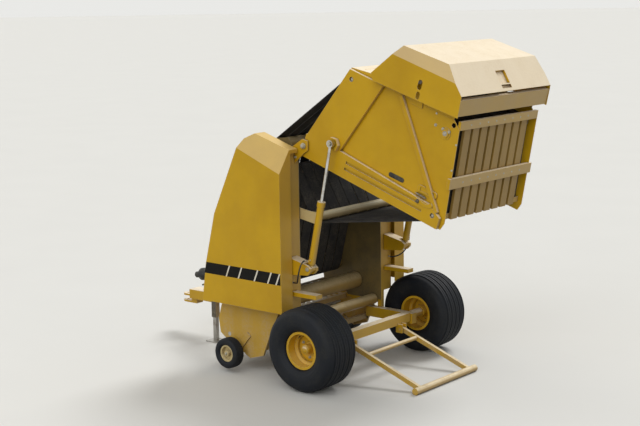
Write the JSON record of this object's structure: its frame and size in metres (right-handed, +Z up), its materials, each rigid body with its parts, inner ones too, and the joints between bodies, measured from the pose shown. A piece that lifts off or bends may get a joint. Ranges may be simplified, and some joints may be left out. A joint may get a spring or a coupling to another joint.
{
  "type": "round baler",
  "caption": "Towed round baler with its tailgate raised: belt chamber, slatted tailgate with rear cover, side shields, tine pickup, ribbed tyres, bale ramp, drawbar and jack.",
  "frame": {"origin": "on the ground, midway along the length and the width of the machine with its tailgate raised", "axes": "+X forward to the hitch, +Y to the machine's left, +Z up"},
  "size_m": [5.2131, 2.784, 4.0266],
  "materials": {
    "yellow_paint": "satin enamel, goldenrod yellow",
    "dusty_paint": "the same enamel under dried crop dust",
    "cream_paint": "faded cream yellow enamel",
    "bare_steel": "rolled steel, polished by the crop",
    "rod_chrome": "hard chromed rod",
    "hose_rubber": "smooth hydraulic hose",
    "belt_rubber": "ribbed belting, dusty",
    "tyre_rubber": "matt black rubber",
    "guard_plastic": "black moulded guard",
    "net_white": "knitted net on a roll",
    "grey_paint": "dark grey enamel"
  },
  "bodies": {
    "root": {"chamber_walls": "dusty_paint", "main_frame": "yellow_paint", "cross_members": "yellow_paint", "axle": "yellow_paint", "drawbar": "yellow_paint", "gearbox": "grey_paint", "front_rollers": "dusty_paint", "belts_front": "belt_rubber", "belts_upper": "belt_rubber", "belts_lower": "belt_rubber", "tension_arm": "cream_paint", "chain_drive": "bare_steel", "cylinder_brackets": "yellow_paint", "hoses": "hose_rubber", "jack_tube": "grey_paint", "driveline": "guard_plastic"},
    "tailgate": {"gate_sides": "yellow_paint", "gate_beams": "yellow_paint", "gate_slats": "dusty_paint", "gate_bars": "yellow_paint", "gate_rollers": "bare_steel", "gate_top_plate": "yellow_paint", "belts_gate": "belt_rubber", "net_roll": "net_white"},
    "cover": {"rear_cover": "yellow_paint"},
    "door_left": {"shield_left": "yellow_paint"},
    "door_right": {"shield_right": "yellow_paint"},
    "cylinder_left": {"barrel_left": "yellow_paint"},
    "piston_left": {"rod_left": "rod_chrome"},
    "cylinder_right": {"barrel_right": "yellow_paint"},
    "piston_right": {"rod_right": "rod_chrome"},
    "pickup": {"pickup_sides": "yellow_paint", "pickup_frame": "yellow_paint", "pickup_bands": "yellow_paint", "wind_guard": "bare_steel"},
    "reel": {"tine_reel": "bare_steel"},
    "gauge_wheel_left": {"gauge_tyre_left": "tyre_rubber", "gauge_rim_left": "cream_paint"},
    "gauge_wheel_right": {"gauge_tyre_right": "tyre_rubber", "gauge_rim_right": "cream_paint"},
    "wheel_left": {"tyre_left": "tyre_rubber", "rim_left": "yellow_paint"},
    "wheel_right": {"tyre_right": "tyre_rubber", "rim_right": "yellow_paint"},
    "ramp": {"bale_ramp": "yellow_paint"},
    "jack": {"jack_leg": "bare_steel"}
  },
  "joints": [
    {"name": "gate_hinge", "type": "hinge", "parent": "root", "child": "tailgate", "pos_m": [-0.353, 0, 2.83], "axis": [0, 1, 0], "range_deg": [-70.5, 0], "deforming": ["belts_upper", "belts_lower"]},
    {"name": "cover_hinge", "type": "hinge", "parent": "tailgate", "child": "cover", "pos_m": [-1.40596, 0, 3.70044], "axis": [0, 1, 0], "range_deg": [0, 70]},
    {"name": "cylinder_left_tilt", "type": "hinge", "parent": "root", "child": "cylinder_left", "pos_m": [-0.493, 0.93, 1.39], "axis": [0, 1, 0], "range_deg": [-0.5, 8.35]},
    {"name": "piston_left_slide", "type": "slide", "parent": "cylinder_left", "child": "piston_left", "axis": [-0.213, 0, 0.9771], "range_m": [-0.5151, 0]},
    {"name": "door_left_hinge", "type": "hinge", "parent": "root", "child": "door_left", "pos_m": [0.907, 0.985, 0.93], "axis": [0, 0, -1], "range_deg": [0, 90]},
    {"name": "wheel_left_spin", "type": "hinge", "parent": "root", "child": "wheel_left", "pos_m": [-0.653, 1.127, 0.5], "axis": [0, 1, 0], "continuous": true},
    {"name": "gauge_wheel_left_spin", "type": "hinge", "parent": "pickup", "child": "gauge_wheel_left", "pos_m": [0.632, 1.19, 0.235], "axis": [0, 1, 0], "continuous": true},
    {"name": "cylinder_right_tilt", "type": "hinge", "parent": "root", "child": "cylinder_right", "pos_m": [-0.493, -0.93, 1.39], "axis": [0, 1, 0], "range_deg": [-0.5, 8.35]},
    {"name": "piston_right_slide", "type": "slide", "parent": "cylinder_right", "child": "piston_right", "axis": [-0.213, 0, 0.9771], "range_m": [-0.5151, 0]},
    {"name": "door_right_hinge", "type": "hinge", "parent": "root", "child": "door_right", "pos_m": [0.907, -0.985, 0.93], "axis": [0, 0, 1], "range_deg": [0, 90]},
    {"name": "wheel_right_spin", "type": "hinge", "parent": "root", "child": "wheel_right", "pos_m": [-0.653, -1.127, 0.5], "axis": [0, 1, 0], "continuous": true},
    {"name": "gauge_wheel_right_spin", "type": "hinge", "parent": "pickup", "child": "gauge_wheel_right", "pos_m": [0.632, -1.19, 0.235], "axis": [0, 1, 0], "continuous": true},
    {"name": "pickup_lift", "type": "hinge", "parent": "root", "child": "pickup", "pos_m": [0.107, 0, 0.7], "axis": [0, -1, 0], "range_deg": [0, 10]},
    {"name": "reel_spin", "type": "hinge", "parent": "pickup", "child": "reel", "pos_m": [0.767, 0, 0.42], "axis": [0, 1, 0], "continuous": true},
    {"name": "ramp_hinge", "type": "hinge", "parent": "root", "child": "ramp", "pos_m": [-0.763, 0, 0.4], "axis": [0, 1, 0], "range_deg": [0, 20]},
    {"name": "jack_slide", "type": "slide", "parent": "root", "child": "jack", "axis": [0, 0, 1], "range_m": [0, 0.3]}
  ],
  "couplings": [
    {"joint": "cylinder_left_tilt", "follows": "gate_hinge", "ratio": -0.11559},
    {"joint": "piston_left_slide", "follows": "gate_hinge", "m_per_rad": 0.41782},
    {"joint": "cylinder_right_tilt", "follows": "gate_hinge", "ratio": -0.11559},
    {"joint": "piston_right_slide", "follows": "gate_hinge", "m_per_rad": 0.41782}
  ]
}
